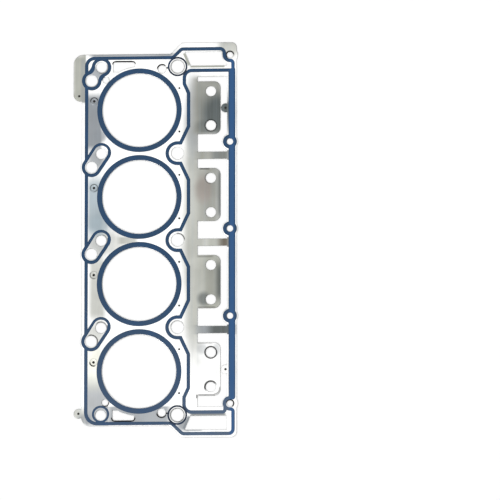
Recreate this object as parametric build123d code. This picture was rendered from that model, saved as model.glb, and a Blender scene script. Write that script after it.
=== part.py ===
from build123d import *
import math
import os

# Cylinder head gasket for one bank of four cylinders, lying flat.
# The bores run along Y, with the coolant side at -X and the pushrod gallery at +X.
# The origin is on the bore line, halfway between the two middle bores,
# level with the face that lies on the engine block.

# Cylinder pattern
CYLINDERS = 4
PITCH = 117.0              # bore to bore, and one row of head bolts to the next
BORE_R = 49.2              # opening in the sheet round a 98 mm bore
BOLT_X = 51.0              # head bolt columns, each side of the bore line
GALLERY_BOLT_R = 8.6
COOLANT_BOLT_R = 7.3
SMALL_BOLT_X = 121.0
SMALL_BOLT_RISE = 15.0     # small bolt above its row of head bolts
SMALL_BOLT_R = 4.2

# Thicknesses and bead widths
SHEET_T = 1.4
BEAD_H = 0.35              # how far a bead stands proud of the sheet
BEAD_W = 4.0
BORE_BEAD_W = 6.2
LOOP_W = 3.0               # beads round the coolant holes
RING_W = 2.2               # beads round the end head bolts
RAIL_BEAD_W = 8.5
BORE_LIP = 0.8             # bare sheet between a bore and its bead
BEAD_LEAN = 0.8            # how far a bore bead's side leans in over its height

# Edges of the sheet
LEFT_REACH = 25.8          # outside the coolant-side bolts
SHOULDER_REACH = 37.3      # the wide corner at the top left, outside the same bolts
SHOULDER_DROP = 45.8       # from the top row of bolts to the foot of that corner
RIGHT_REACH = 9.0          # outside the small bolts
TOP_REACH = 17.2           # above the top row of bolts
BOTTOM_REACH = 14.0        # below the bottom row
GALLERY_TOP_REACH = 32.0
GALLERY_BOTTOM_REACH = 29.8
STEP_X = 49.0              # middle of the slanted step between those edges
STEP_R = 5.0
SHOULDER_TOP_R = 13.0
SHOULDER_FOOT_R = 9.0      # or as much as the corner stands out from the left edge
LEFT_CORNER_R = 12.0
RIGHT_CORNER_R = 7.0
BULGE_R = 14.6             # round the coolant holes at the left edge
BOSS_R = 10.6              # round the small bolts
EAR_R = 6.3                # ear at the bottom left
EAR_REACH = 3.7            # from the left edge to the ear's centre
EAR_RISE = 2.5             # above the bottom row of bolts

# Holes between the bores and the ends
COOLANT_DX = 13.0          # coolant hole outside its bolt
COOLANT_DY = 18.0          # coolant hole below its bolt
COOLANT_R = 7.8
OIL_X = 30.2
OIL_DROP = 3.4             # from the end rows of bolts towards the bores
OIL_R = 5.6
DRAIN_X = 45.2
DRAIN_DROP = 17.3
DRAIN_R = 4.4
SLOT_INNER_X = 6.3         # slots over the end bores
SLOT_OUTER_X = 35.4
SLOT_REACH = 6.8           # beyond the end rows of bolts
SLOT_DROP = 6.8            # and back towards the bores
SLOT_BORE_GAP = 2.8        # between a slot and the bore's bead
SLOT_CORNER_R = 3.0
WINDOW_W = 56.5            # windows beyond the gallery's ends
WINDOW_REACH = 0.9         # beyond the end rows of bolts
WINDOW_FAR_REACH = 19.9
WINDOW_SLANT = 8.0         # how far the window's left side leans
WINDOW_RIGHT_GAP = 4.0     # from the window to the small bolts' line
WINDOW_BEAD_GAP = 1.2      # from the window to the bead round the outside

# Pushrod gallery
RAIL_W = 12.6              # sheet beside the right edge
GALLERY_W = 39.7
GALLERY_TOP_DROP = 14.0    # from the top row of bolts
GALLERY_BOTTOM_RISE = 10.6  # from the bottom row
STRUT_W = 9.4
STRUT_DROP = 3.2           # below its row of bolts
TAB_W = 30.6
TAB_LOW = 33.0             # how far a tab reaches below its bore line
TAB_HIGH = 38.0            # and above it
TAB_R = 8.5
PUSHROD_X = 17.8           # from the root of the tab
PUSHROD_R = 7.0
PUSHROD_SPREAD = 46.2
PUSHROD_RISE = 1.7
LUG_R = 6.0                # lugs on the rail beside the end tabs
LUG_GAP = 0.8              # from a tab to the lug
LUG_RISE = 2.1             # above the bore line
LUG_NECK_W = 10.0          # sheet between a lug and the rail

# Beads round the outside and the gallery
BEAD_LEFT_REACH = 19.8     # outside the coolant-side bolts
BEAD_TOP_REACH = 12.1
BEAD_BOTTOM_REACH = 10.8
BEAD_GALLERY_TOP_REACH = 23.6
BEAD_GALLERY_BOTTOM_REACH = 25.0
BEAD_RIGHT_REACH = 4.1     # outside the small bolts
BEAD_TURN_R = 7.5          # bend round the end small bolts
BEAD_STEP_X = 50.6
BEAD_TOP_LEFT_R = 10.5
BEAD_BOTTOM_LEFT_R = 15.0
BEAD_CORNER_R = 6.0
BEAD_TIGHT_R = 3.5
BEND_SLACK = 0.05          # keeps two bends on one short side from running together
RAIL_BEAD_X = 2.65         # rail bead's middle, outside the small bolts
BEAD_BOSS_R = 9.1
LOOP_R = 12.9
LOOP_RISE = 1.5            # the bolt end of a loop, above its bolt
WAIST_R = 7.0
GALLERY_RING_R = 13.1      # end bolts on the gallery side
CORNER_RING_R = 11.2       # end bolt at the bottom left
CORNER_RING_RISE = 1.6
INNER_X = 14.7             # bead between the bolts and the gallery, outside the bolts
INNER_END_X = 9.0          # the same bead at the gallery's ends
INNER_TOP_DROP = 5.5
INNER_BOTTOM_RISE = 3.7
INNER_BEND_R = 13.8        # round the middle bolts
INNER_RUN = 22.5           # straight run each side of a bore line
INNER_JOG = 12.5           # height of the jog beyond the end runs
INNER_NECK = 4.2           # where the bead leaves a bolt, outside its centre
INNER_CORNER_R = 10.0
INNER_FOOT_IN = 1.0        # where it joins the bend round the small bolt, inside that bend

# Places worked out from the pattern
bore_ys = [(i - (CYLINDERS - 1) / 2) * PITCH for i in range(CYLINDERS)]
bolt_ys = [(i - CYLINDERS / 2) * PITCH for i in range(CYLINDERS + 1)]
bottom_row, top_row = bolt_ys[0], bolt_ys[-1]
middle_rows = bolt_ys[1:-1]
small_bolts = [(SMALL_BOLT_X, y + SMALL_BOLT_RISE) for y in bolt_ys]
coolant_holes = [(-BOLT_X - COOLANT_DX, y - COOLANT_DY) for y in bolt_ys[1:]]
left_x = -BOLT_X - LEFT_REACH
right_x = SMALL_BOLT_X + RIGHT_REACH
rail_x = right_x - RAIL_W
gallery_x = rail_x - GALLERY_W
tab_x = gallery_x + TAB_W
low_turn_y = small_bolts[0][1]
high_turn_y = small_bolts[-1][1]
turn_x = SMALL_BOLT_X - BEAD_TURN_R


def rounded(points, radius):
    """Face inside a closed outline with rounded corners."""
    return make_face(FilletPolyline(*points, radius=radius, close=True))


def circles(centres, radius):
    """Equal round faces, one at each centre."""
    return [Pos(x, y) * Circle(radius) for x, y in centres]


def box_face(x0, x1, y0, y1):
    """Rectangle between two corners."""
    return Pos((x0 + x1) / 2, (y0 + y1) / 2) * Rectangle(x1 - x0, y1 - y0)


def sheet_outline():
    """Outer edge of the sheet, with its bulges, bosses and ear."""
    shoulder_x = -BOLT_X - SHOULDER_REACH
    foot_r = min(SHOULDER_FOOT_R, left_x - shoulder_x - BEND_SLACK)
    top_y, bottom_y = top_row + TOP_REACH, bottom_row - BOTTOM_REACH
    gallery_top_y = top_row + GALLERY_TOP_REACH
    gallery_bottom_y = bottom_row - GALLERY_BOTTOM_REACH
    top_step = (gallery_top_y - top_y) / 2
    bottom_step = (bottom_y - gallery_bottom_y) / 2
    shoulder_y = top_row - SHOULDER_DROP
    corners = [
        (left_x, bottom_y, LEFT_CORNER_R),
        (STEP_X - bottom_step, bottom_y, STEP_R),
        (STEP_X + bottom_step, gallery_bottom_y, STEP_R),
        (right_x, gallery_bottom_y, RIGHT_CORNER_R),
        (right_x, gallery_top_y, RIGHT_CORNER_R),
        (STEP_X + top_step, gallery_top_y, STEP_R),
        (STEP_X - top_step, top_y, STEP_R),
        (shoulder_x, top_y, SHOULDER_TOP_R),
        (shoulder_x, shoulder_y, foot_r),
        (left_x, shoulder_y, 0),
    ]
    outline = rounded([c[:2] for c in corners], [c[2] for c in corners])
    ear = Pos(left_x - EAR_REACH, bottom_row + EAR_RISE) * Circle(EAR_R)
    bulges = circles(coolant_holes[:-1], BULGE_R)
    return outline + [ear, *bulges, *circles(small_bolts, BOSS_R)]


def gallery_openings():
    """Openings round the pushrod tabs, between the struts."""
    struts = [y - STRUT_DROP for y in middle_rows]
    lows = [bottom_row + GALLERY_BOTTOM_RISE] + [y + STRUT_W / 2 for y in struts]
    highs = [y - STRUT_W / 2 for y in struts] + [top_row - GALLERY_TOP_DROP]
    lug_x = tab_x + LUG_GAP + LUG_R
    lug_ys = [y + LUG_RISE for y in (bore_ys[0], bore_ys[-1])]
    necks = [box_face(lug_x, right_x, y - LUG_NECK_W / 2, y + LUG_NECK_W / 2) for y in lug_ys]
    lugs = [*circles([(lug_x, y) for y in lug_ys], LUG_R), *necks]
    openings = []
    for low, high, bore_y in zip(lows, highs, bore_ys):
        low_y, high_y = bore_y - TAB_LOW, bore_y + TAB_HIGH
        tab_corners = [(gallery_x, low_y), (tab_x, low_y), (tab_x, high_y), (gallery_x, high_y)]
        tab = rounded(tab_corners, [0, TAB_R, TAB_R, 0])
        opening = box_face(gallery_x, rail_x, low, high)
        openings.append(opening - [tab, *lugs, *circles(small_bolts, BOSS_R)])
    return openings


def end_openings(end):
    """Slot and window beyond the end bore, at the top (end 1) or the bottom (end -1)."""
    row = top_row if end > 0 else bottom_row
    bore_y = bore_ys[-1] if end > 0 else bore_ys[0]
    slot_ys = sorted((row + end * SLOT_REACH, row - end * SLOT_DROP))
    clear_r = BORE_R + BORE_LIP + BORE_BEAD_W + SLOT_BORE_GAP
    slot = box_face(-SLOT_OUTER_X, -SLOT_INNER_X, *slot_ys) - Pos(0, bore_y) * Circle(clear_r)
    outer_corners = slot.vertices().group_by(Axis.Y)[-1 if end > 0 else 0]
    slot = fillet(outer_corners, SLOT_CORNER_R)
    near, far = row + end * WINDOW_REACH, row + end * WINDOW_FAR_REACH
    right = SMALL_BOLT_X - WINDOW_RIGHT_GAP
    left = right - WINDOW_W
    corners = [(left + WINDOW_SLANT, near), (right, near), (right, far), (left, far)]
    inside_bead = offset(outer_loop(), -BEAD_W / 2 - WINDOW_BEAD_GAP)
    return [slot, make_face(Polyline(*corners, close=True)) & inside_bead]


def round_holes():
    """Every round hole that goes through the sheet."""
    ends = (top_row - OIL_DROP, bottom_row + OIL_DROP)
    pushrods = [
        (gallery_x + PUSHROD_X, y + PUSHROD_RISE + side * PUSHROD_SPREAD / 2)
        for y in bore_ys
        for side in (-1, 1)
    ]
    return [
        *circles([(0, y) for y in bore_ys], BORE_R),
        *circles([(-BOLT_X, y) for y in bolt_ys], COOLANT_BOLT_R),
        *circles([(BOLT_X, y) for y in bolt_ys], GALLERY_BOLT_R),
        *circles(small_bolts, SMALL_BOLT_R),
        *circles(coolant_holes, COOLANT_R),
        *circles(pushrods, PUSHROD_R),
        *circles([(OIL_X, y) for y in ends], OIL_R),
        *circles([(-DRAIN_X, top_row - DRAIN_DROP), (-DRAIN_X, bottom_row + DRAIN_DROP)], DRAIN_R),
    ]


def sheet():
    """The pressed steel sheet."""
    holes = [*gallery_openings(), *end_openings(1), *end_openings(-1), *round_holes()]
    return extrude(sheet_outline() - holes, SHEET_T, dir=(0, 0, 1))


def band(outline, width):
    """Strip of the given width centred on the edge of a face."""
    return offset(outline, width / 2) - offset(outline, -width / 2)


def ring(x, y, outer_r, width):
    """Flat ring."""
    return Pos(x, y) * (Circle(outer_r) - Circle(outer_r - width))


def outer_loop():
    """Centre line of the bead round the outside, as a closed face."""
    left = -BOLT_X - BEAD_LEFT_REACH
    right = SMALL_BOLT_X + BEAD_RIGHT_REACH
    top, bottom = top_row + BEAD_TOP_REACH, bottom_row - BEAD_BOTTOM_REACH
    far_top = top_row + BEAD_GALLERY_TOP_REACH
    far_bottom = bottom_row - BEAD_GALLERY_BOTTOM_REACH
    top_step, bottom_step = (far_top - top) / 2, (bottom - far_bottom) / 2
    corners = [
        (left, bottom, BEAD_BOTTOM_LEFT_R),
        (BEAD_STEP_X - bottom_step, bottom, BEAD_CORNER_R),
        (BEAD_STEP_X + bottom_step, far_bottom, BEAD_CORNER_R),
        (right, far_bottom, BEAD_CORNER_R),
        (right, high_turn_y - BEAD_TURN_R, BEAD_TIGHT_R),
        (turn_x, high_turn_y - BEAD_TURN_R, BEAD_TURN_R),
        (turn_x, far_top, BEAD_CORNER_R),
        (BEAD_STEP_X + top_step, far_top, BEAD_CORNER_R),
        (BEAD_STEP_X - top_step, top, BEAD_CORNER_R),
        (left, top, BEAD_TOP_LEFT_R),
    ]
    loop = rounded([c[:2] for c in corners], [c[2] for c in corners])
    turn_low, turn_high = low_turn_y - BEAD_TURN_R, low_turn_y + BEAD_TURN_R
    turn = Pos(SMALL_BOLT_X, low_turn_y) * Circle(BEAD_TURN_R)
    loop = loop - [turn, box_face(SMALL_BOLT_X, right, turn_low, turn_high)]
    right_corners = loop.vertices().group_by(Axis.X)[-1].sort_by(Axis.Y)
    return fillet(right_corners[1], BEAD_TIGHT_R)


def inner_line():
    """Centre line of the bead between the gallery and the bolts."""
    far, near = BOLT_X + INNER_X, BOLT_X + INNER_END_X
    top, bottom = top_row - INNER_TOP_DROP, bottom_row + INNER_BOTTOM_RISE
    first_run, last_run = bore_ys[-1] + INNER_RUN, bore_ys[0] - INNER_RUN
    foot_x = turn_x + INNER_FOOT_IN
    corners = [
        (SMALL_BOLT_X, top, None),
        (near, top, INNER_CORNER_R),
        (near, first_run + INNER_JOG, 0),
        (far, first_run, 0),
    ]
    for y in reversed(middle_rows):
        half = PITCH / 2 - INNER_RUN
        corners += [
            (far, y + half, 0),
            (BOLT_X + INNER_NECK, y + INNER_BEND_R, 0),
            (BOLT_X - INNER_BEND_R, y + INNER_BEND_R, INNER_BEND_R - BEND_SLACK),
            (BOLT_X - INNER_BEND_R, y - INNER_BEND_R, INNER_BEND_R - BEND_SLACK),
            (BOLT_X + INNER_NECK, y - INNER_BEND_R, 0),
            (far, y - half, 0),
        ]
    corners += [
        (far, last_run, 0),
        (near, last_run - INNER_JOG, 0),
        (near, bottom, INNER_CORNER_R),
        (foot_x, bottom, BEAD_TIGHT_R),
        (foot_x, low_turn_y - BEAD_TURN_R / 2, None),
    ]
    return FilletPolyline([c[:2] for c in corners], radius=[c[2] for c in corners[1:-1]])


def coolant_loops():
    """Outer shapes of the beads round each coolant hole and its bolt."""
    spread = Vector(COOLANT_DX, COOLANT_DY + LOOP_RISE)
    angle = math.degrees(math.atan2(spread.Y, spread.X))
    slot = Rot(0, 0, angle) * SlotCenterToCenter(spread.length, 2 * LOOP_R)
    shapes = [Pos(x, y) * Pos(spread / 2) * slot for x, y in coolant_holes[:-1]]
    x, y = coolant_holes[-1]
    pair = Pos(x, y) * Circle(LOOP_R) + Pos(x + COOLANT_DX, y + COOLANT_DY) * Circle(LOOP_R)
    shapes.append(fillet(pair.vertices(), WAIST_R))
    return shapes


def outer_bead():
    """Flat shape of the bead round the outside, along the rail and round the gallery."""
    rail_left = SMALL_BOLT_X + RAIL_BEAD_X - RAIL_BEAD_W / 2
    rail_right = rail_left + RAIL_BEAD_W
    rail_foot = low_turn_y + BEAD_TURN_R - BEAD_W / 2
    rail_top = top_row - INNER_TOP_DROP + BEAD_W / 2
    rail_corners = [
        (rail_left, rail_foot),
        (rail_right, rail_foot),
        (rail_right, rail_top),
        (rail_left, rail_top),
    ]
    rail = rounded(rail_corners, [0, BEAD_TIGHT_R, 0, 0])
    loops = coolant_loops()
    corner = (-BOLT_X, bottom_row + CORNER_RING_RISE)
    shape = band(outer_loop(), BEAD_W) + trace(inner_line(), BEAD_W)
    shape = shape + [rail, *circles(small_bolts[1:-1], BEAD_BOSS_R), *loops]
    shape = shape - [offset(loop, -LOOP_W) for loop in loops]
    shape = shape - circles([corner], CORNER_RING_R)
    shape = shape + ring(*corner, CORNER_RING_R, RING_W)
    for y in (bottom_row, top_row):
        shape = shape - circles([(BOLT_X, y)], GALLERY_RING_R)
        shape = shape + ring(BOLT_X, y, GALLERY_RING_R, RING_W)
    return shape - circles(small_bolts[1:-1], SMALL_BOLT_R + BORE_LIP)


def bore_bead():
    """Bead round one bore, with leaning sides, standing on the sheet's plane."""
    inner, outer = BORE_R + BORE_LIP, BORE_R + BORE_LIP + BORE_BEAD_W
    profile = Polyline(
        (inner, 0, 0),
        (outer, 0, 0),
        (outer - BEAD_LEAN, 0, BEAD_H),
        (inner + BEAD_LEAN, 0, BEAD_H),
        close=True,
    )
    return revolve(make_face(profile), Axis.Z)


def write(name, shape):
    export_step(shape, f"parts/{name}.step")


os.makedirs("parts", exist_ok=True)
write("steel_sheet", sheet())
write("head_outer_bead", Pos(0, 0, SHEET_T) * extrude(outer_bead(), BEAD_H, dir=(0, 0, 1)))
write("head_bore_beads", Compound(children=[Pos(0, y, SHEET_T) * bore_bead() for y in bore_ys]))
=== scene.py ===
import math

import bmesh
import bpy
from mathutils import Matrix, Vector


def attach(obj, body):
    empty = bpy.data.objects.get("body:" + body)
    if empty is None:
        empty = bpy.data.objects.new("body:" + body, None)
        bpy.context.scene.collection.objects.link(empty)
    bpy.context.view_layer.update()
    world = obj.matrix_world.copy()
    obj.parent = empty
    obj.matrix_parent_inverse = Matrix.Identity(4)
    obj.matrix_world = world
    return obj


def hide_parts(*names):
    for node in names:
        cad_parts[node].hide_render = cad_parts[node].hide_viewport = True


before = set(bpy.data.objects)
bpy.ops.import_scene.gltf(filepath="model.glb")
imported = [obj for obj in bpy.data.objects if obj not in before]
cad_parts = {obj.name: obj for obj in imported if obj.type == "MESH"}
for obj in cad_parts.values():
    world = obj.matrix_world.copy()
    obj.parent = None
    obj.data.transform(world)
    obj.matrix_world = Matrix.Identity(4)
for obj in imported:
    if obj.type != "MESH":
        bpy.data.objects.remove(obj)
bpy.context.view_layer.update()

MM = 0.001

# Sizes in millimetres, in the part's own frame
PITCH = 117.0              # from bore to bore, and from head bolt to head bolt
SHEET_T = 1.4              # thickness of the stack
BEAD_TOP = 1.75            # height of the beads' crowns
BORE_BEAD_INNER = 50.0     # radius of the bore bead's inner edge
BORE_BEAD_W = 6.2
RAIL_X = 123.65            # middle of the wide bead on the rail
BOLT_X = 51.0              # head bolts, on both sides of the bore line
SMALL_BOLT_X, SMALL_BOLT_RISE = 121.0, 15.0
COOLANT_HOLE_X, COOLANT_HOLE_DROP = -64.0, 18.0
PUSHROD_X, PUSHROD_DROP, PUSHROD_RISE = 95.5, 21.4, 24.8
OIL_HOLE_X, OIL_HOLE_Y = 30.2, 230.6
DRAIN_X, DRAIN_Y = -45.2, 216.7
SLOT_LEFT, SLOT_RIGHT, SLOT_Y = -32.4, -9.3, 237.8      # centres of the end slots' outer corners

# Small punched marks
STEAM_X, STEAM_RISE = -60.6, 12.5
PIN_X, PIN_SPREAD = 53.4, 29.3
STEAM_R, PIN_R, RIVET_R = 2.0, 1.4, 1.6
PUNCH_DEPTH = 1.0
PUNCH_CLEAR = 1.0          # how far the punch stands out of the sheet
MARK_SHARE = 0.99          # a mark's radius as a share of its hole's
MARK_RISE = 0.02           # a mark's height above its hole's floor

# Rubber beads
SEAT = 0.05                # how far a piece reaches into the sheet
FOOT_W, FOOT_T = 0.35, 0.04                    # thin foot round a bead
COAT_T = 0.04              # printed coat on the block side
COAT_HALF_W, COAT_CHAMFER = 2.6, 0.3           # that coat under a bore bead
CROWN_POWER = 0.6          # below 1, the bore bead's crown is fuller than an arc
CROWN_STEPS = 16

# Where the foot is wider or narrower: how far from a middle, and the factor of its width
LOOP_REACH, LOOP_FOOT = 10.3, 3.6              # inside the coolant loops
SMALL_BOLT_REACH, SMALL_BOLT_FOOT = 5.3, 1.8
END_BOLT_REACH, END_BOLT_FOOT = 13.4, 0.3

# Cross-sections on an outline, each ring as its distance inside the outline and its height
SHEET_RINGS = [(0.12, 0), (0, 0.12), (0, 1.12), (0.06, 1.25), (0.2, 1.35), (0.5, SHEET_T)]
BEAD_RINGS = [
    (-FOOT_W, SHEET_T - SEAT), (-FOOT_W, SHEET_T + FOOT_T),
    (0.001, 1.52), (0.12, 1.6), (0.35, 1.68), (0.65, 1.73), (1.0, BEAD_TOP),
]
COAT_RINGS = [(0.5, -COAT_T), (0.2, -0.03), (0.1, SEAT)]

# Cross-section of a steam hole's raised collar, as radius and height
COLLAR = [
    (1.8, SHEET_T - 0.1), (1.8, SHEET_T), (3.1, 1.44), (3.9, 1.64),
    (4.3, 1.68), (4.7, 1.64), (5.4, SHEET_T - 0.02), (5.4, SHEET_T - 0.1),
]

# Patterns, with the rows counted from the bottom of the gasket
bore_ys = [(i - 1.5) * PITCH for i in range(4)]
bolt_rows = [(i - 2) * PITCH for i in range(5)]
bores = [(0, y) for y in bore_ys]
gallery_bolts = [(BOLT_X, y) for y in bolt_rows]
end_bolts = [gallery_bolts[-1], gallery_bolts[0]]
small_bolts = [(SMALL_BOLT_X, y + SMALL_BOLT_RISE) for y in bolt_rows]
coolant_bolts = [(-BOLT_X, y) for y in bolt_rows[1:]]
coolant_holes = [(COOLANT_HOLE_X, y - COOLANT_HOLE_DROP) for y in bolt_rows[1:]]
coolant_loops = list(zip(coolant_holes, coolant_bolts))
pushrod_holes = [(PUSHROD_X, y + rise) for y in bore_ys for rise in (-PUSHROD_DROP, PUSHROD_RISE)]
steam_holes = [(STEAM_X, y + STEAM_RISE) for y in bore_ys]
pin_holes = [(PIN_X, y + side * PIN_SPREAD) for y in bore_ys for side in (-1, 1)]
rivets = [(-80.8, 195.2), (-80.5, -231.5), (115.1, 177.6), (115.1, -173.4)]   # shoulder, ear, two lugs

punched = [(x, y, STEAM_R) for x, y in steam_holes]
punched += [(x, y, PIN_R) for x, y in pin_holes]
punched += [(x, y, RIVET_R) for x, y in rivets]

# Light and camera, with the lights' places in metres
FLOOR_SIZE = 60            # metres
FLOOR_DROP = 0.06          # millimetres, so that the coat on the block side clears the floor
SKY_LOW, SKY_HIGH = 0.25, 0.80                 # strength at the horizon, and overhead
SKY_RISE = 0.75            # upward part of the direction from which it is at full strength
SOFTBOX = {"place": (-0.15, 0.4, 2.6), "power": 12, "shape": "DISK", "size": 2.2}
WINDOW = {"place": (-0.7, -0.8, 1.5), "power": 0.95, "angle": math.radians(28)}
LENS = 433.28              # focal length in millimetres
CAMERA_TURN = (7.73, 3.53, -0.03)              # degrees
CAMERA_AWAY = 8            # metres
CAMERA_AIM = (147.75, -14.19, SHEET_T)         # millimetres
CLIP_END = 200             # metres

# Limits for meshes
CREASE = 35                # degrees
LEVEL = 0.9999             # a level face's normal has at least this much Z
TINY = 1e-6                # smallest distance that counts, in metres, and shortest direction


# Meshes

def link(name, mesh):
    """Puts a mesh into the scene as an object."""
    obj = bpy.data.objects.new(name, mesh)
    bpy.context.scene.collection.objects.link(obj)
    return obj


def finish_mesh(mesh, level_flat=False):
    """Smooth faces with a crease at sharp edges. With level_flat, the level faces are shaded flat."""
    mesh.update()
    for face in mesh.polygons:
        face.use_smooth = not (level_flat and abs(face.normal.z) > LEVEL)
    mesh.set_sharp_from_angle(angle=math.radians(CREASE))
    return mesh


def mesh_from(bm, name):
    """Turns a finished bmesh into a mesh and frees it."""
    mesh = bpy.data.meshes.new(name)
    bm.to_mesh(mesh)
    bm.free()
    return mesh


def ways_in(points, border, sharpest=1.6):
    """The way into the face at each point of its border, lengthened at a corner up to the sharpest."""
    normals = [[] for _ in points]
    for a, b in border:
        along = (points[b] - points[a]).normalized()
        inward = Vector((-along.y, along.x))
        normals[a].append(inward)
        normals[b].append(inward)
    ways = []
    for found in normals:
        way = sum(found, Vector((0, 0)))
        length = max(way.length, TINY)
        mitre = min(len(found) / length, sharpest)
        ways.append(way / length * mitre if found else way)
    return ways


def outline_data(node):
    """A node's flat top: its points, triangles and border, and the way into the face at each point."""
    bm = bmesh.new()
    bm.from_mesh(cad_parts[node].data)
    bmesh.ops.remove_doubles(bm, verts=bm.verts, dist=TINY)
    top = max(v.co.z for v in bm.verts)
    faces = [f for f in bm.faces if all(abs(v.co.z - top) < TINY for v in f.verts)]
    number = {v: i for i, v in enumerate({v: 0 for f in faces for v in f.verts})}
    points = [Vector((v.co.x, v.co.y)) / MM for v in number]
    triangles = [[number[v] for v in f.verts] for f in faces]
    if faces[0].normal.z < 0:
        triangles = [t[::-1] for t in triangles]
    bm.free()
    sides = {(t[k - 1], t[k]) for t in triangles for k in range(len(t))}
    border = [(a, b) for a, b in sorted(sides) if (b, a) not in sides]
    return points, triangles, border, ways_in(points, border)


def shelled(name, node, rings, foot=lambda point: 1.0):
    """Solid on a node's outline. Each ring is how far it lies inside the outline, and its height.
    A ring outside the outline, with a negative distance, is widened by the foot's factor."""
    points, triangles, border, ways = outline_data(node)
    factors = [foot(p) for p in points]
    count = len(points)
    verts = []
    for inset, height in rings:
        for p, w, factor in zip(points, ways, factors):
            place = (p + w * (inset if inset > 0 else inset * factor)) * MM
            verts.append((*place, height * MM))
    faces = [tuple(reversed(t)) for t in triangles]
    for level in range(len(rings) - 1):
        low, high = level * count, (level + 1) * count
        faces += [(low + a, low + b, high + b, high + a) for a, b in border]
    faces += [tuple(i + (len(rings) - 1) * count for i in t) for t in triangles]
    mesh = bpy.data.meshes.new(name)
    mesh.from_pydata(verts, [], faces)
    return link(name, finish_mesh(mesh))


def lathe(bm, x, y, profile, steps):
    """Turns a closed profile of (radius, height) round an upright axis."""
    rings = []
    for k in range(steps):
        turn = 2 * math.pi * k / steps
        c, s = math.cos(turn), math.sin(turn)
        rings.append([bm.verts.new(((x + r * c) * MM, (y + r * s) * MM, z * MM)) for r, z in profile])
    for k in range(steps):
        here, there = rings[k - 1], rings[k]
        for i in range(len(profile)):
            bm.faces.new((here[i - 1], there[i - 1], there[i], here[i]))


def turned(name, centres, profile, steps):
    """One object made of the same turned shape at each centre."""
    bm = bmesh.new()
    for x, y in centres:
        lathe(bm, x, y, profile, steps)
    bmesh.ops.recalc_face_normals(bm, faces=bm.faces)
    return link(name, finish_mesh(mesh_from(bm, name)))


def discs(name, places, low, high, steps=24):
    """Upright pegs, one for each (x, y, radius)."""
    bm = bmesh.new()
    for x, y, r in places:
        made = bmesh.ops.create_cone(
            bm, cap_ends=True, segments=steps, radius1=r * MM, radius2=r * MM, depth=(high - low) * MM
        )
        bmesh.ops.translate(bm, verts=made["verts"], vec=Vector((x, y, (low + high) / 2)) * MM)
    return link(name, mesh_from(bm, name))


def cut(obj, cutter):
    """Takes one mesh out of another, and drops the cutter."""
    tool = obj.modifiers.new("cut", "BOOLEAN")
    tool.operation = "DIFFERENCE"
    tool.solver = "EXACT"
    tool.object = cutter
    result = bpy.data.meshes.new_from_object(obj.evaluated_get(bpy.context.evaluated_depsgraph_get()))
    obj.modifiers.clear()
    old, obj.data = obj.data, finish_mesh(result, level_flat=True)
    bpy.data.meshes.remove(old)
    bpy.data.objects.remove(cutter)


# Materials

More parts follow.
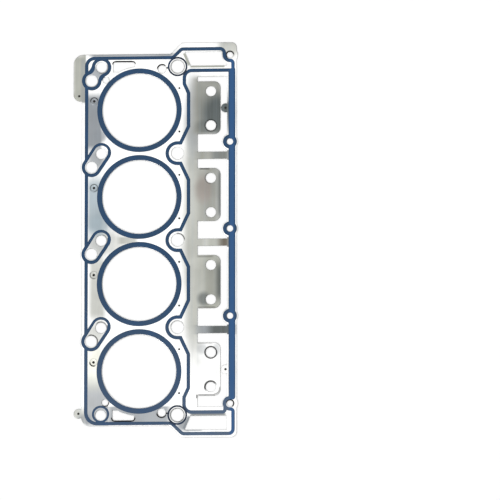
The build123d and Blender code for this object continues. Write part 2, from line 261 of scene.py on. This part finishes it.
class Paint:
    """A Principled material, with short calls for its nodes."""

    def __init__(self, name, **settings):
        self.material = bpy.data.materials.new(name)
        self.material.use_nodes = True
        self.tree = self.material.node_tree
        self.shader = self.tree.nodes["Principled BSDF"]
        self.place = self.node("ShaderNodeTexCoord").outputs["Object"]
        for key, value in settings.items():
            self.shader.inputs[key.replace("_", " ")].default_value = value

    def node(self, kind, **settings):
        made = self.tree.nodes.new(kind)
        for key, value in settings.items():
            setattr(made, key, value)
        return made

    def join(self, out, into):
        self.tree.links.new(out, into)

    def noise(self, scale, detail=3.0, stretch=(1, 1, 1)):
        """Noise value, from 0 to 1, at a scale per metre."""
        mapping = self.node("ShaderNodeMapping")
        mapping.inputs["Scale"].default_value = stretch
        made = self.node("ShaderNodeTexNoise")
        made.inputs["Scale"].default_value = scale
        made.inputs["Detail"].default_value = detail
        self.join(self.place, mapping.inputs["Vector"])
        self.join(mapping.outputs["Vector"], made.inputs["Vector"])
        return made.outputs["Fac"]

    def ramp(self, value, low, high, start=0.0, end=1.0):
        """Smooth step of a value, from start at low to end at high."""
        made = self.node("ShaderNodeMapRange", interpolation_type="SMOOTHSTEP")
        made.inputs["From Min"].default_value = low
        made.inputs["From Max"].default_value = high
        made.inputs["To Min"].default_value = start
        made.inputs["To Max"].default_value = end
        self.join(value, made.inputs["Value"])
        return made.outputs["Result"]

    def mix(self, amount, one, two):
        """Mixes two colours, each a socket or a plain colour."""
        made = self.node("ShaderNodeMix", data_type="RGBA")
        self.join(amount, made.inputs[0])
        for socket, colour in ((made.inputs[6], one), (made.inputs[7], two)):
            if isinstance(colour, tuple):
                socket.default_value = (*colour, 1)
            else:
                self.join(colour, socket)
        return made.outputs[2]

    def split(self, vector):
        """The X, Y and Z sockets of a vector."""
        made = self.node("ShaderNodeSeparateXYZ")
        self.join(vector, made.inputs[0])
        return made.outputs

    def upward(self):
        """How much a face looks up, from -1 to 1."""
        return self.split(self.node("ShaderNodeNewGeometry").outputs["Normal"])["Z"]

    def math(self, operation, one, two=0.0):
        """One step of arithmetic on a socket, with a second socket or a number."""
        made = self.node("ShaderNodeMath", operation=operation)
        self.join(one, made.inputs[0])
        if isinstance(two, (int, float)):
            made.inputs[1].default_value = two
        else:
            self.join(two, made.inputs[1])
        return made.outputs[0]

    def measure(self, operation, vector):
        """The place's distance from a point, or its dot product with a direction."""
        made = self.node("ShaderNodeVectorMath", operation=operation)
        self.join(self.place, made.inputs[0])
        made.inputs[1].default_value = vector
        return made.outputs["Value"]

    def along(self, x, y, turn, unit=1):
        """How far the place lies from (x, y) along a turn in degrees, in units of millimetres."""
        way = Vector((math.cos(math.radians(turn)), math.sin(math.radians(turn)), 0)) / (unit * MM)
        return self.math("SUBTRACT", self.measure("DOT_PRODUCT", way), way.dot(Vector((x, y, 0)) * MM))

    def spot(self, x, y, wide, high, strength, edge=0.35):
        """Amount of a soft oval, given by its middle and half sizes. It fades beyond the edge's share."""
        mapping = self.node("ShaderNodeMapping", vector_type="TEXTURE")
        mapping.inputs["Location"].default_value = (x * MM, y * MM, 0)
        mapping.inputs["Scale"].default_value = (wide * MM, high * MM, 1)
        self.join(self.place, mapping.inputs["Vector"])
        length = self.node("ShaderNodeVectorMath", operation="LENGTH")
        self.join(mapping.outputs["Vector"], length.inputs[0])
        return self.ramp(length.outputs["Value"], edge, 1.0, strength, 0.0)

    def bar(self, x, y, wide, high, strength, soft_x, soft_y, turn=0):
        """Amount of a soft box, given by its middle, half sizes, soft rims and turn in degrees."""
        across = self.math("ABSOLUTE", self.along(x, y, turn))
        upright = self.math("ABSOLUTE", self.along(x, y, turn + 90))
        across = self.ramp(across, wide - soft_x, wide, strength, 0.0)
        return self.math("MULTIPLY", across, self.ramp(upright, high - soft_y, high, 1.0, 0.0))

    def arc(self, x, y, radius, wide, strength, heading=0, spread=180):
        """Amount of a soft arc, given by its centre, radius, width, heading and half spread."""
        full_width, full_spread = 0.2, 0.55     # shares inside which the arc is full
        no_width = 0.65                         # share beyond which there is none
        length = self.measure("DISTANCE", (x * MM, y * MM, SHEET_T * MM))
        off = self.math("ABSOLUTE", self.math("SUBTRACT", length, radius * MM))
        band = self.ramp(off, wide * full_width * MM, wide * no_width * MM, strength, 0.0)
        if spread >= 180:
            return band
        side = self.math("DIVIDE", self.along(x, y, heading, 1 / MM), length)
        limits = [math.cos(math.radians(a)) for a in (spread, spread * full_spread)]
        return self.math("MULTIPLY", band, self.ramp(side, *limits))

    def colour(self, out):
        self.join(out, self.shader.inputs["Base Color"])

    def rough(self, out):
        self.join(out, self.shader.inputs["Roughness"])

    def bump(self, value, depth, strength=1.0):
        """Small relief on the surface, with its depth in millimetres."""
        made = self.node("ShaderNodeBump")
        made.inputs["Distance"].default_value = depth * MM
        made.inputs["Strength"].default_value = strength
        self.join(value, made.inputs["Height"])
        self.join(made.outputs["Normal"], self.shader.inputs["Normal"])


# Tones of the sheet: its own white, and the tones of its painted shade, painted reflections, painted
# highlights and grain
WHITE_STEEL = (0.78, 0.78, 0.77)
CREAM_STEEL = (0.66, 0.66, 0.575)
BLUE_STEEL = (0.25, 0.30, 0.33)
WARM_STEEL = (0.275, 0.28, 0.245)
PINK_STEEL = (0.245, 0.215, 0.195)
TAB_STEEL = (0.21, 0.212, 0.188)
COOL_STEEL = (0.19, 0.205, 0.222)
DARK_STEEL = (0.062, 0.072, 0.072)
BROWN_STEEL = (0.085, 0.07, 0.052)
# Painted shade on sloped faces and at the edges of holes, slots and tabs
EDGE_SHADE_TONE = (0.012, 0.012, 0.012)

# Tones of the rubber, with painted shade on the flanks and a painted highlight on the wide rail
FLANK_SHADE_BLUE = (0.009, 0.023, 0.052)              # on the flanks
MID_BLUE = (0.020, 0.056, 0.118)
PALE_BLUE = (0.028, 0.094, 0.235)              # on the wide rail
LOWER_BLUE = (0.065, 0.10, 0.165)               # toward the bottom
CORNER_BLUE = (0.095, 0.135, 0.20)             # at the bottom right
BOLT_BLUE = (0.016, 0.024, 0.042)              # round the end head bolts

# Where those tones lie, in millimetres
# Where the painted highlight of the wide rail is full, and where it ends
RAIL_FULL, RAIL_NONE = 1.5, 4.6                # distances from the rail's middle
# Where the bead turns lighter toward the bottom
LOWER_FROM, LOWER_TO = -30, -220
BOTTOM_CORNER = (112, -252, 95, 70, 0.75)      # middle, half sizes and strength
BOLT_SHADE = (16, 16, 0.9, 0.8)                # half sizes, strength and edge

# Tones of the punched marks, dark as painted shadow, and of the floor
MARK_TONES = (0.012, 0.012, 0.013), (0.03, 0.028, 0.026)
FLOOR_TONES = (0.94, 0.94, 0.94), (0.96, 0.96, 0.96)

# Soft ovals of painted shade and painted reflection on the sheet: tone, middle, half width, half height,
# strength
SHEET_SPOTS = [
    (WARM_STEEL, 74, 20, 22, 250, 0.8),
    (COOL_STEEL, 73, 165, 18, 80, 0.6),
    (WARM_STEEL, 72, -110, 16, 50, 0.35),
    (WARM_STEEL, -45, -4, 42, 24, 0.6),
    (COOL_STEEL, -53, 141, 13, 13, 0.8),
    (BLUE_STEEL, -53, 22, 20, 22, 0.85),
    (COOL_STEEL, 60, -247, 15, 12, 0.85),
    (WARM_STEEL, -83, -236, 22, 20, 0.7),
    (COOL_STEEL, -73, -240, 14, 11, 0.6),
    (COOL_STEEL, -58, 226, 13, 13, 0.85),
    (COOL_STEEL, -58, 109, 16, 20, 0.8),
    (COOL_STEEL, -58, -9, 16, 20, 0.35),
    (WARM_STEEL, -58, -125, 16, 20, 0.55),
    (WARM_STEEL, 120, 260, 21, 21, 0.75),
]

# Soft boxes of painted shade and painted reflection, and in white of painted highlight: tone, middle,
# half width, half height, strength, soft rims, turn
SHOULDER_BARS = [
    (WARM_STEEL, -84, 222, 13, 37, 0.95, 2, 3),
    (WHITE_STEEL, -91, 228, 6, 34, 0.75, 6, 8),
    (WHITE_STEEL, -84, 254, 14, 9, 0.6, 10, 9),
    (COOL_STEEL, -75.5, 216, 5, 34, 0.45, 4, 8),
]
TOP_EDGE_BARS = [
    (COOL_STEEL, -10, 250.5, 62, 3.2, 0.85, 12, 2),
]
LEFT_STRIP_BARS = [
    (COOL_STEEL, -60.5, 160, 11.5, 44, 0.97, 4, 14),
    (BLUE_STEEL, -59, 46, 13, 50, 0.9, 7, 24),
    (WARM_STEEL, -56, -64, 14, 52, 0.72, 8, 20),
    (CREAM_STEEL, -60, -170, 11, 38, 0.8, 5, 12),
    (COOL_STEEL, -56, -220, 16, 50, 0.74, 2, 38),
]
BORE_WEB_BARS = [
    (WARM_STEEL, -15, 0, 16, 6, 0.72, 8, 3),
]
BOTTOM_BARS = [
    (COOL_STEEL, 0, -234, 47, 13, 0.84, 12, 2.5),
]
TAB_BARS = [
    (TAB_STEEL, 92, 181, 27, 43, 0.95, 15, 9),
    (TAB_STEEL, 96, 61, 27, 46, 0.95, 24, 8),
    (WARM_STEEL, 97, -56, 27, 46, 0.97, 22, 10),
    (TAB_STEEL, 100, -54, 17, 36, 0.75, 15, 20),
    (DARK_STEEL, 108, -56, 9, 34, 0.8, 8, 20),
    (DARK_STEEL, 109, 62, 7, 38, 0.75, 6, 14),
]
STRUT_BARS = [
    (TAB_STEEL, 100, 113.8, 30, 7, 0.9, 14, 1),
    (DARK_STEEL, 108, 113.8, 17, 7, 0.6, 12, 1),
    (WARM_STEEL, 104, -3.2, 26, 7, 0.9, 18, 1),
    (BROWN_STEEL, 114, -3.2, 14, 7, 0.9, 13, 1),
    (COOL_STEEL, 100, -120.2, 32, 7, 0.9, 18, 1),
    (DARK_STEEL, 110, -120.2, 25, 7, 0.92, 16, 1),
]
WINDOW_BARS = [
    (WARM_STEEL, 91, 233.6, 25, 1.5, 0.97, 4, 0.8),
    (WARM_STEEL, 63.0, 243.6, 10.5, 2.0, 0.97, 3, 0.9, 112.8),
    (DARK_STEEL, 92, -233.6, 26, 2.2, 0.8, 5, 0.9),
    (COOL_STEEL, 63.2, -244.2, 10.5, 2.2, 0.97, 3, 0.9, -112.8),
    (COOL_STEEL, 73, -254.8, 14, 1.3, 0.7, 6, 0.8),
]
SHEET_BARS = [
    *SHOULDER_BARS, *TOP_EDGE_BARS, *LEFT_STRIP_BARS, *BORE_WEB_BARS, *BOTTOM_BARS,
    *TAB_BARS, *STRUT_BARS, *WINDOW_BARS,
]

# Patches of painted shade over those, as ovals
SHADE_PATCH_SPOTS = [
    (PINK_STEEL, 86, 68, 16, 26, 0.75),
    (COOL_STEEL, 84, -146, 10, 10, 0.4),
    (COOL_STEEL, 103, -147, 7, 13, 0.5),
    (DARK_STEEL, 105, 170, 32, 42, 0.95),
    (DARK_STEEL, 88, 152, 18, 14, 0.5),
    (DARK_STEEL, 86, -79, 12, 13, 0.7),
    (DARK_STEEL, 115, 178, 10, 12, 0.95),
]

# Painted shade at the edges of holes and corners: middle, radius, width, strength, heading, half spread
EDGE_ARCS = [
    (OIL_HOLE_X, OIL_HOLE_Y, 6.2, 2.6, 1.0, 110, 85),
    (OIL_HOLE_X, -OIL_HOLE_Y, 6.2, 3.0, 1.0, -100, 90),
    (DRAIN_X, -DRAIN_Y, 4.9, 2.2, 0.95, -60, 90),
    (DRAIN_X, DRAIN_Y, 4.9, 2.0, 0.35, 20, 60),
    (*small_bolts[4], 4.9, 2.6, 1.0, 120, 160),
    (*small_bolts[0], 4.9, 2.6, 1.0, 60, 170),
    (*gallery_bolts[4], 9.2, 1.6, 0.6, 0, 180),
    (*gallery_bolts[0], 9.2, 1.6, 0.7, 0, 180),
    (*gallery_bolts[2], 9.3, 2.0, 0.8, 50, 60),
    (*gallery_bolts[1], 9.2, 1.6, 0.5, 100, 90),
    (*coolant_bolts[3], 8.0, 2.4, 0.6, -40, 80),
    (*coolant_holes[3], 8.4, 2.4, 0.6, -50, 80),
    (*coolant_bolts[1], 8.0, 2.0, 0.5, 10, 90),
    (*coolant_bolts[0], 8.0, 2.2, 0.7, 60, 100),
    (*coolant_holes[0], 8.5, 2.2, 0.8, 45, 90),
    (*pushrod_holes[6], 7.6, 2.2, 0.6, 0, 180),
    (*pushrod_holes[5], 7.6, 1.8, 0.35, 200, 90),
    (*pushrod_holes[1], 7.5, 2.8, 0.95, 0, 180),
    (*pushrod_holes[0], 7.6, 3.2, 0.95, 120, 120),
    (99.8, -199.2, 7.4, 2.6, 0.6, -40, 70),
    (*steam_holes[3], 4.9, 1.8, 0.8, 100, 110),
    (*steam_holes[2], 4.9, 2.0, 0.5, 0, 180),
    (*steam_holes[1], 4.9, 1.8, 0.7, 215, 95),
    (*steam_holes[0], 4.9, 2.0, 1.0, 235, 75),
    (SLOT_LEFT, SLOT_Y, 3.6, 2.0, 1.0, 125, 70),
    (SLOT_RIGHT, SLOT_Y, 3.6, 2.0, 1.0, 60, 70),
    (SLOT_LEFT, -SLOT_Y, 3.6, 2.4, 1.0, -130, 80),
    (SLOT_RIGHT, -SLOT_Y, 3.6, 2.4, 1.0, -50, 80),
]

# Painted shade along the straight edges of the slots and tabs, and dark beside the oil holes: as the soft
# boxes, without a tone
EDGE_BARS = [
    (-21, 241.4, 12.5, 1.5, 1.0, 1.5, 0.7),
    (-21, -241.4, 12.5, 1.7, 1.0, 1.5, 0.7),
    (87, 95.7, 8, 1.4, 0.7, 3, 0.7),
    (88, -22.4, 13, 1.6, 0.35, 5, 1.0),
    (90, -90.2, 13, 1.6, 0.4, 4, 1.0),
    (90, -207.4, 13, 1.4, 0.65, 3, 0.7),
    (77.0, -209.5, 1.3, 3.2, 0.8, 0.8, 1.2),
    (88, -138.6, 12, 1.2, 0.35, 4, 0.8),
    (37.2, 232.4, 1.7, 1.6, 0.95, 0.8, 0.8),
    (36.6, -231.6, 2.0, 1.5, 0.95, 0.8, 0.8),
]


def sheet_paint():
    """Satin rolled stainless sheet with painted shade, painted reflections and painted highlights in soft
    areas, painted shade along its edges, and a faint grain along its length.
    """
    paint = Paint("satin_steel", Metallic=1.0, Roughness=0.36)
    out = WHITE_STEEL
    for tone, *oval in SHEET_SPOTS:
        out = paint.mix(paint.spot(*oval), out, tone)
    for tone, *box in SHEET_BARS:
        out = paint.mix(paint.bar(*box), out, tone)
    for tone, *oval in SHADE_PATCH_SPOTS:
        out = paint.mix(paint.spot(*oval), out, tone)
    grain = paint.noise(scale=900, detail=4, stretch=(1, 0.03, 1))
    streak = paint.noise(scale=260, detail=2, stretch=(1, 0.02, 1))
    cloud = paint.noise(scale=22)
    out = paint.mix(paint.ramp(grain, 0.35, 0.8, end=0.10), out, COOL_STEEL)
    out = paint.mix(paint.ramp(streak, 0.45, 0.7, end=0.12), out, BLUE_STEEL)
    out = paint.mix(paint.ramp(cloud, 0.45, 0.75, end=0.10), out, WARM_STEEL)
    # Painted shade on sloped faces, and along the edges of holes, slots and tabs
    edge = paint.ramp(paint.math("ABSOLUTE", paint.upward()), 0.6, 0.985, start=0.45, end=0.0)
    for arc in EDGE_ARCS:
        edge = paint.math("MAXIMUM", edge, paint.arc(*arc))
    for box in EDGE_BARS:
        edge = paint.math("MAXIMUM", edge, paint.bar(*box))
    out = paint.mix(edge, out, EDGE_SHADE_TONE)
    paint.colour(out)
    paint.rough(paint.ramp(cloud, 0.3, 0.7, start=0.3, end=0.44))
    paint.bump(grain, depth=0.01)
    return paint.material


def bead_paint():
    """Blue sealing rubber, with painted shade on its flanks and a painted highlight on the wide rail,
    darker round the end bolts and lighter toward the bottom.
    """
    paint = Paint("blue_bead", Roughness=0.5)
    paint.shader.inputs["Specular IOR Level"].default_value = 0.15
    place = paint.split(paint.place)
    # Painted shade: darker where the bead's surface turns away from overhead
    out = paint.mix(paint.ramp(paint.upward(), 0.75, 0.99), FLANK_SHADE_BLUE, MID_BLUE)
    # Lighter toward the bottom
    out = paint.mix(paint.ramp(place["Y"], LOWER_FROM * MM, LOWER_TO * MM, end=0.5), out, LOWER_BLUE)
    out = paint.mix(paint.spot(*BOTTOM_CORNER), out, CORNER_BLUE)
    # Painted highlight on the wide rail's flat top
    from_rail = paint.math("ABSOLUTE", paint.math("SUBTRACT", place["X"], RAIL_X * MM))
    rail_highlight = paint.ramp(from_rail, RAIL_FULL * MM, RAIL_NONE * MM, start=0.85, end=0.0)
    out = paint.mix(rail_highlight, out, PALE_BLUE)
    for bolt in end_bolts:
        out = paint.mix(paint.spot(*bolt, *BOLT_SHADE), out, BOLT_BLUE)
    cloud = paint.noise(scale=60)
    out = paint.mix(paint.ramp(cloud, 0.4, 0.8, end=0.25), out, PALE_BLUE)
    paint.colour(out)
    paint.rough(paint.ramp(cloud, 0.3, 0.7, start=0.42, end=0.6))
    paint.bump(paint.noise(scale=2500), depth=0.02, strength=0.6)
    return paint.material


def dark_paint():
    """Shadowed metal inside the punched marks."""
    paint = Paint("dark_steel", Metallic=0.4, Roughness=0.7)
    paint.colour(paint.mix(paint.noise(scale=800), *MARK_TONES))
    return paint.material


def floor_paint():
    """Pale studio floor."""
    paint = Paint("pale_floor", Roughness=0.9)
    paint.shader.inputs["Specular IOR Level"].default_value = 0.1
    paint.colour(paint.mix(paint.noise(scale=3, detail=2), *FLOOR_TONES))
    return paint.material


steel, rubber, dark = sheet_paint(), bead_paint(), dark_paint()


# Pieces

def dress(obj, material, slot, *nodes):
    """Gives a new piece its material, its body and the nodes that it stands for."""
    obj.data.materials.clear()
    obj.data.materials.append(material)
    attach(obj, "root")
    if nodes:
        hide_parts(*nodes)


def pressed_sheet():
    """Steel sheet with pressed edges, and blind holes for the small marks."""
    sheet = shelled("pressed_sheet", "steel_sheet", SHEET_RINGS)
    cut(sheet, discs("punch", punched, SHEET_T - PUNCH_DEPTH, SHEET_T + PUNCH_CLEAR))
    dress(sheet, steel, "sheet", "steel_sheet")


def punched_marks():
    """Floors of the small holes, dark as painted shadow."""
    floors = [(x, y, r * MARK_SHARE) for x, y, r in punched]
    level = SHEET_T - PUNCH_DEPTH
    dress(discs("punched_marks", floors, level - SEAT, level + MARK_RISE), dark, "sheet")


def steam_hole_collars():
    """Raised ring round each steam hole."""
    dress(turned("steam_hole_collars", steam_holes, COLLAR, steps=48), steel, "sheet")


def near_line(point, start, end):
    """Distance from a point to a straight line between two others."""
    a, b = Vector(start), Vector(end)
    share = (point - a).dot(b - a) / (b - a).length_squared
    return (point - a - (b - a) * min(max(share, 0), 1)).length


def bead_foot(point):
    """How much the bead's thin foot is widened at a point."""
    if any(near_line(point, *loop) < LOOP_REACH for loop in coolant_loops):
        return LOOP_FOOT
    if any((point - Vector(centre)).length < SMALL_BOLT_REACH for centre in small_bolts):
        return SMALL_BOLT_FOOT
    if any((point - Vector(centre)).length < END_BOLT_REACH for centre in end_bolts):
        return END_BOLT_FOOT
    return 1.0


def outer_bead():
    """Connected blue bead with a rounded crown on a thin foot."""
    bead = shelled("outer_bead", "head_outer_bead", BEAD_RINGS, bead_foot)
    dress(bead, rubber, "bead", "head_outer_bead")


def bore_beads():
    """Rounded blue ring on a thin foot round each bore."""
    half = BORE_BEAD_W / 2
    middle = BORE_BEAD_INNER + half
    outer, inner = middle + half + FOOT_W, middle - half - FOOT_W
    low, high = SHEET_T - SEAT, SHEET_T + FOOT_T
    profile = [(outer, high), (outer, low), (inner, low), (inner, high)]
    for k in range(CROWN_STEPS + 1):
        angle = math.pi * k / CROWN_STEPS
        height = SHEET_T + (BEAD_TOP - SHEET_T) * math.sin(angle) ** CROWN_POWER
        profile.append((middle - half * math.cos(angle), height))
    dress(turned("bore_beads", bores, profile, steps=180), rubber, "bead", "head_bore_beads")


def block_side_coat():
    """Thin blue coat on the block side, along the outer bead."""
    dress(shelled("block_side_coat", "head_outer_bead", COAT_RINGS), rubber, "bead")


def block_side_bore_coat():
    """Thin blue coat on the block side, along the bore beads."""
    middle = BORE_BEAD_INNER + BORE_BEAD_W / 2
    face = COAT_HALF_W - COAT_CHAMFER
    profile = [(middle - COAT_HALF_W, SEAT), (middle + COAT_HALF_W, SEAT)]
    profile += [(middle + face, -COAT_T), (middle - face, -COAT_T)]
    dress(turned("block_side_bore_coat", bores, profile, steps=180), rubber, "bead")


pressed_sheet()
punched_marks()
steam_hole_collars()
outer_bead()
bore_beads()
block_side_coat()
block_side_bore_coat()


# Floor, light and camera

def pale_floor():
    """Wide plane just below the part."""
    bpy.ops.mesh.primitive_plane_add(size=FLOOR_SIZE, location=(0, 0, -FLOOR_DROP * MM))
    floor = bpy.context.object
    floor.name = "floor"
    floor.data.materials.append(floor_paint())


def pale_sky():
    """White sky, brighter overhead than at the horizon."""
    world = bpy.context.scene.world or bpy.data.worlds.new("studio")
    bpy.context.scene.world = world
    world.use_nodes = True
    nodes, links = world.node_tree.nodes, world.node_tree.links
    direction = nodes.new("ShaderNodeTexCoord")
    height = nodes.new("ShaderNodeSeparateXYZ")
    fade = nodes.new("ShaderNodeMapRange")
    limits = {"From Min": 0.0, "From Max": SKY_RISE, "To Min": SKY_LOW, "To Max": SKY_HIGH}
    for socket, amount in limits.items():
        fade.inputs[socket].default_value = amount
    nodes["Background"].inputs["Color"].default_value = (1, 1, 1, 1)
    links.new(direction.outputs["Generated"], height.inputs[0])
    links.new(height.outputs["Z"], fade.inputs["Value"])
    links.new(fade.outputs["Result"], nodes["Background"].inputs["Strength"])


def lamp(name, kind, place, power, **settings):
    """A light at a place, aimed at the middle of the part."""
    light = bpy.data.lights.new(name, kind)
    light.energy = power
    for key, value in settings.items():
        setattr(light, key, value)
    obj = bpy.data.objects.new(name, light)
    obj.location = place
    obj.rotation_euler = (-Vector(place)).to_track_quat("-Z", "Y").to_euler()
    bpy.context.scene.collection.objects.link(obj)


def photo_camera():
    """Camera at the photo's angle and frame."""
    data = bpy.data.cameras.new("camera")
    data.lens = LENS
    data.clip_end = CLIP_END
    camera = bpy.data.objects.new("camera", data)
    camera.rotation_euler = [math.radians(a) for a in CAMERA_TURN]
    away = camera.rotation_euler.to_matrix() @ Vector((0, 0, CAMERA_AWAY))
    camera.location = Vector(CAMERA_AIM) * MM + away
    bpy.context.scene.collection.objects.link(camera)
    bpy.context.scene.camera = camera


pale_floor()
pale_sky()
lamp("top_softbox", "AREA", **SOFTBOX)
lamp("window", "SUN", **WINDOW)
photo_camera()
bpy.context.scene.view_settings.view_transform = "Standard"
